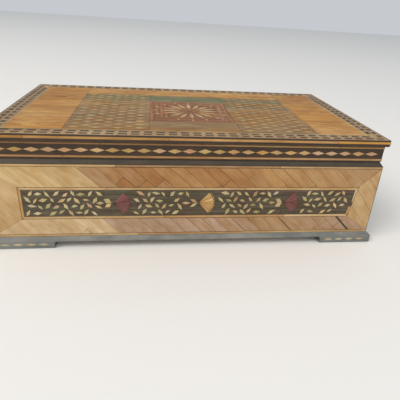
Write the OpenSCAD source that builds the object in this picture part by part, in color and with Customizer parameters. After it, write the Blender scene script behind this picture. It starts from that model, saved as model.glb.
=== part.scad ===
// Keepsake box in straw marquetry: a softwood box on bracket feet with a hinged lid.
// Origin at the centre of the footprint, on the table. +X right, +Y back, +Z up. Millimetres.

/* [Overall] */
// Width of the lid board
lid_w = 300; // [240:1:360]
// Depth of the lid board, front to back
lid_d = 174; // [140:1:220]
// Height of the straw-faced side of the box
face_h = 59.4; // [50:0.1:80]

/* [Base] */
// Height of the four bracket feet
foot_h = 6.2; // [4:0.1:10]
// Length of each leg of a bracket foot
foot_leg = 47; // [44:0.5:60]
// Width of each leg of a bracket foot
foot_wide = 17; // [12:0.5:24]
// Height of the plinth moulding
plinth_h = 3.0; // [2.5:0.1:8]
// How far the plinth stands out from the straw faces
plinth_out = 3.0; // [1.6:0.1:5]
// Thickness of the softwood walls
wall_t = 7.0; // [5:0.1:10]
// Height of the black rim moulding on the walls
rim_h = 3.5; // [2.5:0.1:6]
// How far the rim slopes out beyond the lid
rim_out = 2.0; // [1:0.1:3]

/* [Lid] */
// Height of the lid rails
rail_h = 13.0; // [12:0.1:20]
// Thickness of the lid rails
rail_t = 5.6; // [5.5:0.1:8]
// Thickness of the lid board
board_t = 4.6; // [4:0.1:8]
// Overhang of the lid board beyond its rails
board_out = 2.6; // [1:0.1:6]
// Gap between the closed lid and the rim
lid_gap = 0.4; // [0.3:0.05:0.6]

/* [Straw] */
// Thickness of a straw veneer sheet on its paper
veneer_t = 0.6; // [0.5:0.05:1]
// Thickness of one piece of cut straw
straw_t = 0.25; // [0.15:0.05:0.35]
// Thickness of the black ground under the leaves
ground_t = 0.4; // [0.3:0.05:0.5]
// Width of the straw lines along the faces and the lid rails
string_w = 1.8; // [1:0.1:2.4]
// Width of the straw line round the black panel
frame_w = 2.0; // [1:0.1:3]
// Width of the parquet beside the black panel
margin_side = 20.7; // [12:0.1:30]
// Height of the parquet above the black panel
margin_top = 16.4; // [10:0.1:20]
// Height of the parquet below the black panel
margin_bottom = 13.4; // [10:0.1:18]
// Width of the banded border round the top
border_w = 13.5; // [12:0.5:20]
// Width of the plain straw at each side of the middle field
field_side = 40; // [30:1:60]
// Depth of the plain straw behind the middle field
field_back = 24; // [15:1:40]

/* [Ornament] */
// Length of a diamond on the lid rails
diamond_l = 9.8; // [6:0.1:14]
// Height of a diamond on the lid rails
diamond_h = 4.2; // [3:0.1:6]
// Spacing of the diamonds on the lid rails
diamond_pitch = 11.0; // [10:0.1:16]
// Length of a leaf
leaf_l = 5.6; // [4:0.1:7]
// Width of a leaf
leaf_w = 2.4; // [1.5:0.1:3]
// Ground above and below a fan flower
fan_edge = 1.2; // [0.4:0.1:3]
// Half the spread of a fan flower, in degrees
fan_spread = 48; // [30:1:50]
// Length of a petal of the star
petal_l = 20; // [14:0.5:24]
// Width of a petal of the star
petal_w = 4.4; // [2:0.1:5]

/* [Hinges] */
// Length of a hinge
hinge_l = 25; // [18:0.5:40]
// Distance from the end of the lid rail to a hinge
hinge_inset = 45; // [20:1:60]
// Radius of the hinge knuckles
knuckle_r = 1.5; // [1.3:0.1:1.8]
// Thickness of a hinge leaf
leaf_t = 0.8; // [0.6:0.05:1]
// Radius of the hinge pin
pin_r = 0.6; // [0.4:0.05:0.7]

/* [Hidden] */

$fn = 48;
EPS = 0.01;
CUT = 1; // how far a cut runs on past the wood that it goes through

// The four sides, counted from the front anticlockwise as seen from above
FRONT = 0;
RIGHT = 1;
BACK = 2;
LEFT = 3;

// Outlines, all worked out from the lid board
rail_w = lid_w - 2 * board_out;
rail_d = lid_d - 2 * board_out;
face_w = rail_w + 2 * rim_out;
face_d = rail_d + 2 * rim_out;
carcass_w = face_w - 2 * veneer_t;
carcass_d = face_d - 2 * veneer_t;
inner_w = carcass_w - 2 * wall_t;
inner_d = carcass_d - 2 * wall_t;
plinth_w = face_w + 2 * plinth_out;
plinth_d = face_d + 2 * plinth_out;

// Levels, from the table up
plinth_z = foot_h;
face_z = plinth_z + plinth_h;
rim_z = face_z + face_h;
rim_top = rim_z + rim_h;
rail_z = rim_top + lid_gap;
board_z = rail_z + rail_h;
top_z = board_z + board_t;

plinth_in = 4.4;      // how far the plinth strips reach in under the walls
plinth_nose = 0.8;    // upright nose of the plinth below its sloping shoulder
foot_round = 1.6;     // rounding of a foot's lower outer edge
foot_cove = 2.2;      // hollow where a foot runs out under the plinth
foot_diamond_l = 7.8;
foot_diamond_h = 2.4;
foot_diamond_pitch = 9.3;
rim_w = wall_t + veneer_t;
rim_set = 0.6;        // how far the rim's top edge lies in from the lid rails, which swing past it

lining_t = 0.6;
lining_fit = 0.1;     // slack round the lining of the floor and the lid
lining_drop = 1.5;    // bare rim above the lining

panel_h = face_h - 2 * string_w - margin_top - margin_bottom;
panel_z = face_z + string_w + margin_bottom;
ground_h = panel_h - 2 * frame_w;
ground_z = panel_z + frame_w;

rail_string_z = 0.7;  // height of the lower line on a lid rail
rail_string_gap = 7.6; // clear black between the two lines
rail_end = 1;         // least black beyond the last diamond of a rail
edging_t = 0.3;
edging_h = 2.8;
edging_z = 1.2;

brick_w = 3.4;
brick_l = 6.2;
brick_pitch = 8.8;
brick_rows = [4.2, 9.4]; // distance of each row from the edge of the border
brick_t = 0.1;
brick_clear = 1;      // straw between the rows of two sides where they meet at a corner

pivot_y = rail_d / 2;
pivot_z = rim_top + lid_gap / 2;
hinge_x = rail_w / 2 - hinge_inset - hinge_l / 2;
hinge_deep = 5.0;      // reach of a hinge leaf from the pin
leaf_gap = 0.1;        // from the pin's level to each hinge leaf
knuckle_fit = 0.3;     // air round the knuckles in the wood
knuckle_end = 0.15;    // air between knuckles
mortise_fit = 0.05;
pin_fit = 0.05;
screw_r = 0.7;
screw_head_r = 1.3;
screw_head_t = 0.4;
screw_l = 6.0;
screw_fit = 0.02;
screw_y = 2.9;         // distance of the screws in front of the pin
screw_x = 8.5;         // distance of the screws from the middle of a hinge

straw_gold = "#c99a55";
straw_pale = "#e0c08a";
straw_leaf = "#d6cc98";
straw_red = "#8c3f3f";
straw_olive = "#8f7a58";
straw_russet = "#96714a";
stain_black = "#3a3732";
softwood = "#d8b583";
flock = "#6e2230";
brass = "#b08d43";

// Length of a side, and distance across the box from it, of a w by d rectangle
function side_long(side, w, d) = side % 2 == 0 ? w : d;
function side_far(side, w, d) = side % 2 == 0 ? d : w;

// Turns what is drawn for the front to another side
module at_side(side) rotate([0, 0, 90 * side]) children();

// Part of a mitred frame of size w by d, strip width t, from z up by h, on one side
module mitred(side, w, d, t, z, h) {
    long = side_long(side, w, d);
    far = side_far(side, w, d);
    at_side(side)
        translate([0, 0, z])
            linear_extrude(h)
                polygon([[-long / 2, -far / 2], [long / 2, -far / 2],
                    [long / 2 - t, -far / 2 + t], [-long / 2 + t, -far / 2 + t]]);
}

// The same strip cut to a profile, whose points are [distance in from the outer edge, height]
module mitred_profile(side, w, d, t, z, h, profile) {
    long = side_long(side, w, d);
    far = side_far(side, w, d);
    intersection() {
        mitred(side, w, d, t, z, h);
        at_side(side)
            translate([-long / 2, -far / 2, z])
                rotate([90, 0, 90])
                    linear_extrude(long)
                        polygon(profile);
    }
}

// Lays a flat drawing on a side of a w by d box: t thick, its back at depth "under" below the face
module on_side(side, w, d, z, under, t) {
    far = side_far(side, w, d);
    at_side(side)
        translate([0, -far / 2 + under, z])
            rotate([90, 0, 0])
                linear_extrude(t)
                    children();
}

// Rhombus of length l and width w, at a place and angle
module lozenge(l, w, at = [0, 0], turn = 0) {
    translate(at)
        rotate(turn)
            polygon([[-l / 2, 0], [0, -w / 2], [l / 2, 0], [0, w / 2]]);
}

// Flat frame a by b standing on the X axis, with the given widths of its sides, foot and head
module flat_frame(a, b, side, low, high) {
    difference() {
        translate([-a / 2, 0]) square([a, b]);
        translate([-a / 2 + side, low]) square([a - 2 * side, b - low - high]);
    }
}

// Base: board, walls, rim and plinth
module bottom_board() {
    color(softwood)
        translate([-face_w / 2 + plinth_in, -face_d / 2 + plinth_in, plinth_z])
            cube([face_w - 2 * plinth_in, face_d - 2 * plinth_in, plinth_h]);
}

module wall(side) {
    color(softwood)
        difference() {
            mitred(side, carcass_w, carcass_d, wall_t, face_z, face_h);
            if (side == BACK) screw_holes(-1);
        }
}

module rim(side) {
    color(stain_black)
        difference() {
            mitred_profile(side, face_w, face_d, rim_w, rim_z, rim_h,
                [[0, 0], [rim_out + rim_set, rim_h], [rim_w, rim_h], [rim_w, 0]]);
            if (side == BACK) {
                hinge_seats(-1);
                screw_holes(-1);
            }
        }
}

module plinth(side) {
    color(stain_black)
        mitred_profile(side, plinth_w, plinth_d, plinth_in + plinth_out, plinth_z, plinth_h,
            [[0, 0], [0, plinth_nose], [plinth_out, plinth_h],
                [plinth_in + plinth_out, plinth_h], [plinth_in + plinth_out, 0]]);
}

// One bracket foot at the corner given by the signs of x and y
module foot(sx, sy) {
    color(stain_black)
        translate([sx * plinth_w / 2, sy * plinth_d / 2, 0])
            scale([-sx, -sy, 1]) {
                foot_bar();
                mirror([1, -1, 0]) foot_bar();
            }
}

// A foot's leg along X, its outer corner at the origin, mitred there and hollowed at its end
module foot_bar() {
    difference() {
        intersection() {
            linear_extrude(foot_h)
                polygon([[0, 0], [foot_leg, 0], [foot_leg, foot_wide], [foot_wide, foot_wide]]);
            rotate([90, 0, 90])
                linear_extrude(foot_leg)
                    foot_profile();
        }
        translate([foot_leg, -EPS, foot_h - foot_cove]) {
            rotate([-90, 0, 0]) cylinder(r = foot_cove, h = foot_wide + 2 * EPS);
            translate([-foot_cove, 0, -foot_h]) cube([foot_cove + CUT, foot_wide + 2 * EPS, foot_h]);
        }
    }
}

// Cross-section of a foot, its outer face on the Y axis and its lower edge rounded
module foot_profile() {
    polygon(concat(
        [for (a = [180:15:270]) [foot_round * (1 + cos(a)), foot_round * (1 + sin(a))]],
        [[foot_wide, 0], [foot_wide, foot_h], [0, foot_h]]));
}

// Diamonds along both outer faces of every foot
module foot_diamonds() {
    run = foot_leg - 2 * foot_cove;
    n = floor(run / foot_diamond_pitch);
    z = (foot_h + foot_round) / 2;
    color(straw_pale)
        for (side = [FRONT, RIGHT, BACK, LEFT], end = [-1, 1], k = [0:n - 1])
            on_side(side, plinth_w, plinth_d, z, 0, straw_t)
                lozenge(foot_diamond_l, foot_diamond_h,
                    [end * (side_long(side, plinth_w, plinth_d) / 2 - foot_cove
                        - run / 2 - (k - (n - 1) / 2) * foot_diamond_pitch), 0]);
}

// Straw faces: those of the front and back cover the ends of those of the sides
function veneer_long(side) = side % 2 == 0 ? face_w : face_d - 2 * veneer_t;
function panel_long(side) = side_long(side, face_w, face_d) - 2 * margin_side;
function ground_long(side) = panel_long(side) - 2 * frame_w;

module ground_shape(side) {
    translate([-ground_long(side) / 2, 0])
        square([ground_long(side), ground_h]);
}

module parquet(side) {
    long = veneer_long(side);
    color(straw_gold) {
        on_side(side, face_w, face_d, face_z + string_w, veneer_t, veneer_t)
            flat_frame(long, face_h - 2 * string_w,
                (long - panel_long(side)) / 2, margin_bottom, margin_top);
        if (side == BACK)
            on_side(side, face_w, face_d, ground_z, veneer_t, veneer_t)
                ground_shape(side);
    }
}

module stringing(side) {
    long = veneer_long(side);
    color(straw_pale) {
        on_side(side, face_w, face_d, face_z, veneer_t, veneer_t)
            for (z = [0, face_h - string_w])
                translate([-long / 2, z]) square([long, string_w]);
        on_side(side, face_w, face_d, panel_z, veneer_t, veneer_t)
            flat_frame(panel_long(side), panel_h, frame_w, frame_w, frame_w);
    }
}

module panel(side) {
    color(stain_black)
        on_side(side, face_w, face_d, ground_z, veneer_t, ground_t)
            ground_shape(side);
}

// Leaf ornament: rows of scattered leaves fill the black panel between the fans. Each leaf is
// [x, y, angle, size], with y from the middle of the panel.
leaf_row = 5.2;       // distance between the rows of leaves
leaf_step = 6.0;      // distance between the leaves of a row
leaf_sway = 0.6;      // how far a leaf strays from its row
leaf_turn = 60;       // greatest slant of a leaf
leaf_vary = 0.12;     // share by which the leaves differ in size
leaf_clear = 0.3;     // least ground between two leaves, and between a leaf and the edge
leaf_seed = 17;       // degrees by which the sines move on for each millimetre of the start
bud_clear = 3;        // ground in front of a fan's tip
fan_clear = 1.0;      // ground behind a fan
fan_r = (ground_h / 2 - fan_edge) / sin(fan_spread);
fan_teeth = 10;
fan_notch = 1.2;
fan_places = [-62, 2.7, 71]; // tips of the three fans on the front, from the middle

function fan_tips(side) = side == FRONT ? fan_places : [-fan_r / 2];

// How far a leaf reaches from its middle in the direction of the angle a
function leaf_reach(leaf, a) =
    leaf[3] / 2 * max(leaf_l * abs(cos(a - leaf[2])), leaf_w * abs(sin(a - leaf[2])));

function apart(p, q) =
    let (d = [q[0] - p[0], q[1] - p[1]], a = atan2(d[1], d[0]))
    norm(d) > leaf_reach(p, a) + leaf_reach(q, a) + leaf_clear;

function inside(leaf, x0, x1) =
    leaf[0] - leaf_reach(leaf, 0) > x0 + leaf_clear
    && leaf[0] + leaf_reach(leaf, 0) < x1 - leaf_clear
    && abs(leaf[1]) + leaf_reach(leaf, 90) < ground_h / 2 - leaf_clear;

// The rows of leaves between x0 and x1, some of which may touch. Each sine turns by a large odd step
// from leaf to leaf, which scatters them, and the start of the rows sets off all four, so that no two
// stretches are alike.
function leaf_rows(x0, x1) =
    let (rows = floor(ground_h / leaf_row), n = ceil((x1 - x0) / leaf_step), off = leaf_seed * x0)
    [for (k = [0:n], row = [0:rows - 1])
        [x0 + (k + (row % 2) / 2 + 0.5) * leaf_step + leaf_sway * sin(83 * k + 49 * row + off),
            (row - (rows - 1) / 2) * leaf_row + leaf_sway * sin(211 * k + 47 * row + off),
            leaf_turn * sin(109 * k + 121 * row + 60 + off),
            1 + leaf_vary * sin(171 * k + 61 * row + off)]];

// Adds each leaf of the list to those kept, if it is clear of them and of the ends
function planted(list, x0, x1, kept = [], k = 0) =
    k == len(list) ? kept
    : planted(list, x0, x1,
        inside(list[k], x0, x1) && len([for (o = kept) if (!apart(o, list[k])) 1]) == 0
            ? concat(kept, [list[k]]) : kept,
        k + 1);

// A bud of three leaves that points at a fan's tip
bud_back = 4.0;       // distance of the paired leaves from the tip
bud_rise = 1.9;
bud_slant = 30;
bud_size = 1.05;
function bud(tip) = [
    [tip - bud_back, bud_rise, -bud_slant, bud_size],
    [tip - bud_back, -bud_rise, bud_slant, bud_size],
    [tip - bud_back - leaf_l, 0, 0, bud_size]
];

// The leafy stretches of a panel, each [from, to, bud at its end]
function stretches(side) =
    let (tips = fan_tips(side), n = len(tips), half = ground_long(side) / 2)
    [for (k = [0:n])
        [k == 0 ? -half : tips[k - 1] + fan_r + fan_clear,
            k == n ? half : tips[k] - bud_clear,
            k == n ? [] : bud(tips[k])]];

function panel_leaves(side) =
    [for (s = stretches(side)) each planted(leaf_rows(s[0], s[1]), s[0], s[1], s[2])];

module leaves(side) {
    color(straw_leaf)
        on_side(side, face_w, face_d, ground_z + ground_h / 2, veneer_t - ground_t, straw_t)
            for (leaf = panel_leaves(side))
                lozenge(leaf_l * leaf[3], leaf_w * leaf[3], [leaf[0], leaf[1]], leaf[2]);
}

// Fan with its tip at the origin, opening to +X, its far edge cut in teeth
module fan_shape() {
    step = 2 * fan_spread / fan_teeth;
    polygon(concat([[0, 0]],
        [for (k = [0:2 * fan_teeth])
            let (r = k % 2 == 0 ? fan_r - fan_notch : fan_r, a = -fan_spread + k * step / 2)
            [r * cos(a), r * sin(a)]]));
}

module fan_at(side, x) {
    on_side(side, face_w, face_d, ground_z + ground_h / 2, veneer_t - ground_t, straw_t)
        translate([x, 0]) fan_shape();
}

module fans_red() {
    color(straw_red)
        for (k = [0, 2])
            fan_at(FRONT, fan_tips(FRONT)[k]);
}

module fans_gold() {
    color(straw_gold) {
        fan_at(FRONT, fan_tips(FRONT)[1]);
        fan_at(RIGHT, fan_tips(RIGHT)[0]);
        fan_at(LEFT, fan_tips(LEFT)[0]);
    }
}

// Flock paper inside the box and the lid
module floor_lining() {
    slack = lining_t + lining_fit;
    color(flock)
        translate([-inner_w / 2 + slack, -inner_d / 2 + slack, face_z])
            cube([inner_w - 2 * slack, inner_d - 2 * slack, lining_t]);
}

module wall_lining() {
    color(flock)
        for (side = [FRONT, RIGHT, BACK, LEFT])
            mitred(side, inner_w, inner_d, lining_t, face_z, face_h + rim_h - lining_drop);
}

module lid_lining() {
    color(flock)
        translate([-rail_w / 2 + rail_t + lining_fit, -rail_d / 2 + rail_t + lining_fit, board_z - lining_t])
            cube([rail_w - 2 * (rail_t + lining_fit), rail_d - 2 * (rail_t + lining_fit), lining_t]);
}

// Lid: rails, board and its straw
module rail(side) {
    color(stain_black)
        difference() {
            mitred(side, rail_w, rail_d, rail_t, rail_z, rail_h);
            if (side == BACK) {
                hinge_seats(1);
                screw_holes(1);
            }
        }
}

module lid_board() {
    color(stain_black)
        translate([-lid_w / 2 + edging_t, -lid_d / 2 + edging_t, board_z])
            cube([lid_w - 2 * edging_t, lid_d - 2 * edging_t, board_t]);
}

module board_edging() {
    color(straw_gold)
        for (side = [FRONT, RIGHT, BACK, LEFT])
            mitred(side, lid_w, lid_d, edging_t, board_z + edging_z, edging_h);
}

function rail_cover(side) = side_long(side, rail_w + 2 * straw_t, rail_d);

module rail_stringing() {
    color(straw_pale)
        difference() {
            for (side = [FRONT, RIGHT, BACK, LEFT],
                z = [rail_string_z, rail_string_z + string_w + rail_string_gap])
                on_side(side, rail_w, rail_d, rail_z + z, 0, straw_t)
                    translate([-rail_cover(side) / 2, 0])
                        square([rail_cover(side), string_w]);
            hinge_seats(1);
        }
}

module rail_diamonds() {
    z = rail_z + rail_string_z + string_w + rail_string_gap / 2;
    color(straw_pale)
        for (side = [FRONT, RIGHT, BACK, LEFT]) {
            long = side_long(side, rail_w, rail_d);
            n = floor((long - 2 * rail_end) / diamond_pitch);
            on_side(side, rail_w, rail_d, z, 0, straw_t)
                for (k = [0:n - 1])
                    lozenge(diamond_l, diamond_h, [(k - (n - 1) / 2) * diamond_pitch, 0]);
        }
}

module border_straw() {
    color(straw_pale)
        for (side = [FRONT, RIGHT, BACK, LEFT])
            mitred(side, lid_w, lid_d, border_w, top_z, veneer_t);
}

// Two rows of black bricks round the border, the inner row half a brick along
module border_bricks() {
    color(stain_black)
        for (side = [FRONT, RIGHT, BACK, LEFT], row = [0, 1]) {
            off = brick_rows[row];
            clear = side % 2 == 0 ? -brick_w / 2 : brick_w / 2 + brick_clear;
            run = side_long(side, lid_w, lid_d) - 2 * (off + clear);
            n = floor(run / brick_pitch) - row;
            pitch = run / (n + row);
            at_side(side)
                translate([0, -side_far(side, lid_w, lid_d) / 2 + off - brick_w / 2, top_z + veneer_t])
                    for (k = [0:n - 1])
                        translate([(k - (n - 1) / 2) * pitch - brick_l / 2, 0, 0])
                            cube([brick_l, brick_w, brick_t]);
        }
}

// Field inside the border: plain straw at the sides and the back, a coloured field in the middle
field_w = lid_w - 2 * border_w;
field_d = lid_d - 2 * border_w;
middle_w = field_w - 2 * field_side;
middle_d = field_d - field_back;
middle_y = -field_back / 2; // middle of the coloured field

module field_straw() {
    color(straw_gold)
        difference() {
            translate([-field_w / 2, -field_d / 2, top_z])
                cube([field_w, field_d, veneer_t]);
            translate([-middle_w / 2, -field_d / 2 - CUT, top_z - CUT])
                cube([middle_w, middle_d + CUT, veneer_t + 2 * CUT]);
        }
}

// Ornament of the coloured field: a star on a square, with a net of lozenges at each side
petals = 16;
petal_root = 7;       // distance of a petal's root from the centre of the star
tip_gap = 0.8;        // between a petal and the small leaf beyond it
tip_l = 5.6;
tip_w = 2.4;
square_edge = 1.6;    // ground round the star
square_side = 2 * (petal_root + petal_l + tip_gap + tip_l + square_edge);
net_l = 9.4;
net_w = 5.2;
net_gap = 4.0;        // ground between two lozenges of a row
net_edge = 2.4;       // least ground round the net

module middle_ground() {
    color(straw_olive)
        difference() {
            translate([-middle_w / 2, middle_y - middle_d / 2, top_z])
                cube([middle_w, middle_d, veneer_t]);
            translate([-square_side / 2, middle_y - square_side / 2, top_z - CUT])
                cube([square_side, square_side, veneer_t + 2 * CUT]);
        }
}

module middle_square() {
    color(straw_russet)
        translate([-square_side / 2, middle_y - square_side / 2, top_z])
            cube([square_side, square_side, veneer_t]);
}

module petal_ring(root, l, w) {
    for (k = [0:petals - 1])
        rotate(360 * k / petals)
            lozenge(l, w, [root + l / 2, 0]);
}

module middle_star() {
    color(straw_pale)
        translate([0, middle_y, top_z + veneer_t])
            linear_extrude(straw_t) {
                petal_ring(petal_root, petal_l, petal_w);
                petal_ring(petal_root + petal_l + tip_gap, tip_l, tip_w);
            }
}

// Staggered rows of lozenges, in columns that fill the ground at each side of the square
module middle_lozenges() {
    wide = (middle_w - square_side) / 2 - 2 * net_edge;
    deep = middle_d - 2 * net_edge;
    columns = floor((wide + net_gap) / (net_l + net_gap));
    rows = floor((deep - net_w) / (net_w + net_gap) * 2) + 1;
    step_x = columns > 1 ? (wide - net_l) / (columns - 1) : 0;
    step_y = (deep - net_w) / (rows - 1);
    color(straw_leaf)
        translate([0, middle_y, top_z + veneer_t])
            linear_extrude(straw_t)
                for (hand = [-1, 1], row = [0:rows - 1], k = [0:columns - 1 - row % 2])
                    lozenge(net_l, net_w,
                        [hand * (square_side / 2 + net_edge + net_l / 2 + (k + (row % 2) / 2) * step_x),
                            (row - (rows - 1) / 2) * step_y]);
}

// Hinges: a pair of small butt hinges let into the back rim and the back rail
module pivot_axis(r, x0, x1) {
    translate([x0, pivot_y, pivot_z])
        rotate([0, 90, 0])
            cylinder(r = r, h = x1 - x0);
}

// Room for both hinges in the wood below (up = -1) or above (up = 1) the gap
module hinge_seats(up) {
    deep = hinge_deep + mortise_fit;
    high = leaf_gap + leaf_t - lid_gap / 2;
    for (x = [-hinge_x, hinge_x]) {
        pivot_axis(knuckle_r + knuckle_fit, x - hinge_l / 2 - knuckle_fit, x + hinge_l / 2 + knuckle_fit);
        translate([x - hinge_l / 2 - mortise_fit, pivot_y - deep, up > 0 ? rail_z - CUT : rim_top - high])
            cube([hinge_l + 2 * mortise_fit, deep, high + CUT]);
    }
}

function screw_places() =
    [for (x = [-hinge_x, hinge_x], s = [-screw_x, screw_x]) [x + s, pivot_y - screw_y]];

module screw_holes(up) {
    z = pivot_z + up * leaf_gap;
    for (p = screw_places())
        translate([p[0], p[1], up > 0 ? z : z - screw_l - screw_fit])
            cylinder(r = screw_r + screw_fit, h = screw_l + screw_fit);
}

// One leaf of a hinge: the lower leaf has the two end knuckles, the upper one the middle knuckle
module hinge_half(x, up) {
    third = hinge_l / 3;
    cuts = [-hinge_l / 2, -third / 2, third / 2, hinge_l / 2];
    knuckles = up > 0 ? [1] : [0, 2];
    gaps = up > 0 ? [0, 2] : [1];
    z = up > 0 ? pivot_z + leaf_gap : pivot_z - leaf_gap - leaf_t;
    color(brass)
        difference() {
            union() {
                difference() {
                    translate([x - hinge_l / 2, pivot_y - hinge_deep, z])
                        cube([hinge_l, hinge_deep, leaf_t]);
                    for (k = gaps)
                        pivot_axis(knuckle_r + knuckle_end,
                            x + cuts[k] - knuckle_end, x + cuts[k + 1] + knuckle_end);
                }
                for (k = knuckles)
                    pivot_axis(knuckle_r, x + cuts[k] + (k == 0 ? 0 : knuckle_end),
                        x + cuts[k + 1] - (k == 2 ? 0 : knuckle_end));
            }
            pivot_axis(pin_r + pin_fit, x - hinge_l, x + hinge_l);
            for (p = screw_places())
                translate([p[0], p[1], z - EPS]) {
                    cylinder(r = screw_r + screw_fit, h = leaf_t + 2 * EPS);
                    translate([0, 0, up > 0 ? 0 : leaf_t - screw_head_t])
                        cylinder(r = screw_head_r + screw_fit, h = screw_head_t + 2 * EPS);
                }
        }
}

module hinge_pin(x) {
    color(brass)
        pivot_axis(pin_r, x - hinge_l / 2, x + hinge_l / 2);
}

module hinge_screws(up) {
    z = pivot_z + up * leaf_gap;
    color(brass)
        for (p = screw_places())
            translate([p[0], p[1], z])
                rotate([up > 0 ? 0 : 180, 0, 0]) {
                    cylinder(r = screw_head_r, h = screw_head_t);
                    cylinder(r = screw_r, h = screw_l);
                }
}

bottom_board();
wall(FRONT);  // wall_front
wall(RIGHT);  // wall_right
wall(BACK);  // wall_back
wall(LEFT);  // wall_left
rim(FRONT);  // rim_front
rim(RIGHT);  // rim_right
rim(BACK);  // rim_back
rim(LEFT);  // rim_left
plinth(FRONT);  // plinth_front
plinth(RIGHT);  // plinth_right
plinth(BACK);  // plinth_back
plinth(LEFT);  // plinth_left
foot(-1, -1);  // foot_front_left
foot(1, -1);  // foot_front_right
foot(1, 1);  // foot_back_right
foot(-1, 1);  // foot_back_left
foot_diamonds();
parquet(FRONT);  // parquet_front
parquet(RIGHT);  // parquet_right
parquet(BACK);  // parquet_back
parquet(LEFT);  // parquet_left
stringing(FRONT);  // stringing_front
stringing(RIGHT);  // stringing_right
stringing(BACK);  // stringing_back
stringing(LEFT);  // stringing_left
panel(FRONT);  // panel_front
panel(RIGHT);  // panel_right
panel(LEFT);  // panel_left
leaves(FRONT);  // leaves_front
leaves(RIGHT);  // leaves_right
leaves(LEFT);  // leaves_left
fans_red();
fans_gold();
floor_lining();
wall_lining();
hinge_half(-hinge_x, -1);  // hinge_base_left
hinge_half(hinge_x, -1);  // hinge_base_right
hinge_pin(-hinge_x);  // hinge_pin_left
hinge_pin(hinge_x);  // hinge_pin_right
hinge_screws(-1);  // hinge_screws_base
lid_board();
rail(FRONT);  // rail_front
rail(RIGHT);  // rail_right
rail(BACK);  // rail_back
rail(LEFT);  // rail_left
rail_stringing();
rail_diamonds();
board_edging();
border_straw();
border_bricks();
field_straw();
middle_ground();
middle_square();
middle_lozenges();
middle_star();
hinge_half(-hinge_x, 1);  // hinge_lid_left
hinge_half(hinge_x, 1);  // hinge_lid_right
hinge_screws(1);  // hinge_screws_lid
lid_lining();
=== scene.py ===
import math

import bmesh
import bpy
import mathutils
import numpy as np
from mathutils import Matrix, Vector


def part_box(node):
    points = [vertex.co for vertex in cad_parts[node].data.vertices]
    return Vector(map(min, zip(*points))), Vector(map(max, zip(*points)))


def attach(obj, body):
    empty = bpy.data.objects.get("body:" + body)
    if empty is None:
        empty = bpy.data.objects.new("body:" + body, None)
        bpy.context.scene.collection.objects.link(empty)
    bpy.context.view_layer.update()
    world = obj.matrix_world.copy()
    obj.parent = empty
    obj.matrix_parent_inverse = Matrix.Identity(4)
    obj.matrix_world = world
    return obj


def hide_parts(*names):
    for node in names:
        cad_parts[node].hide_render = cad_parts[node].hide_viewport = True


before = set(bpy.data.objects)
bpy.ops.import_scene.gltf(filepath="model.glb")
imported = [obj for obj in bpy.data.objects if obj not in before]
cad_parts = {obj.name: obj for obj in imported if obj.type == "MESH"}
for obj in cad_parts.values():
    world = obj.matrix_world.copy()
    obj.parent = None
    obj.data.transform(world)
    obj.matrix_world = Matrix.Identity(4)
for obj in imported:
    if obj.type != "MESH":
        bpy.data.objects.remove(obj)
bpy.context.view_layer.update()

# Straw marquetry keepsake box. All sizes below are in millimetres; mm turns them to metres.
mm = 0.001
lift = 1 / mm


def boxOf(node):
    low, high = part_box(node)
    return np.array(low) * lift, np.array(high) * lift


# Colours are written as sRGB hex and turned to linear here
def toLinear(hexColour):
    parts = [int(hexColour[i:i + 2], 16) / 255 for i in (1, 3, 5)]
    return [c / 12.92 if c <= 0.04045 else ((c + 0.055) / 1.055) ** 2.4 for c in parts] + [1.0]


# Split straw and its dyes, as they look after a century of light and handling
straw = {
    "pale": "#d7be8d", "honey": "#bf9762", "gold": "#cfa865", "amber": "#ab7c49", "rose": "#b99e88",
    "tan": "#b4926b", "cream": "#dcc697", "oat": "#c9be9b", "leafGreen": "#c2bf8c", "celery": "#b2b180",
    "blush": "#cba78d", "orange": "#cfa270", "sunny": "#ca9a3e", "deepGold": "#b68839",
    "umber": "#9c7541", "black": "#4a453d", "blackGreen": "#464b42", "blackPlum": "#504543",
    "green": "#83906a", "sea": "#82917b", "olive": "#a39663", "stone": "#b0976b", "fog": "#a8926d",
    "cloud": "#c2aa7c", "russet": "#b17e50", "brick": "#a7724a", "wheat": "#cdb083", "hazy": "#ddc8a5",
    "oliveGold": "#c0a76a", "silver": "#c9c6ae", "ink": "#666051", "inkGreen": "#5c6350",
    "inkPlum": "#6b5d58", "madder": "#895858", "roseRed": "#99696a",
}


# Adds one node. A setting is a property of the node or the value of a socket; a link feeds a socket.
def addNode(tree, kind, settings=None, links=None):
    node = tree.nodes.new(kind)
    for name, value in (settings or {}).items():
        if isinstance(name, str) and name in node.bl_rna.properties:
            setattr(node, name, value)
        else:
            node.inputs[name].default_value = value
    for name, source in (links or {}).items():
        tree.links.new(source, node.inputs[name])
    return node


def newMaterial(name):
    material = bpy.data.materials.new(name)
    material.use_nodes = True
    material.node_tree.nodes.clear()
    return material, material.node_tree


# Turns a value that runs from low to high into one that runs from start to end
def ranged(tree, value, low=0.0, high=1.0, start=0.0, end=1.0):
    limits = {"From Min": low, "From Max": high, "To Min": start, "To Max": end}
    return addNode(tree, "ShaderNodeMapRange", limits, {"Value": value}).outputs[0]


# Mixes two colours. The factor and either colour may be a value, a hex colour or another node's output.
def mixColour(tree, factor, first, second, blend="MIX"):
    node = addNode(tree, "ShaderNodeMix", {"data_type": "RGBA", "blend_type": blend})
    for socket, value in ((0, factor), (6, first), (7, second)):
        if isinstance(value, bpy.types.NodeSocket):
            tree.links.new(value, node.inputs[socket])
        else:
            node.inputs[socket].default_value = toLinear(value) if isinstance(value, str) else value
    return node.outputs[2]


# Darkens a colour by a multiplier where the factor is low: for marks in the straw and wood, and for painted
# shade
def darkenWhereLow(tree, factor, colour, multiplier):
    return mixColour(tree, factor, mixColour(tree, 1.0, colour, multiplier, "MULTIPLY"), colour)


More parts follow.
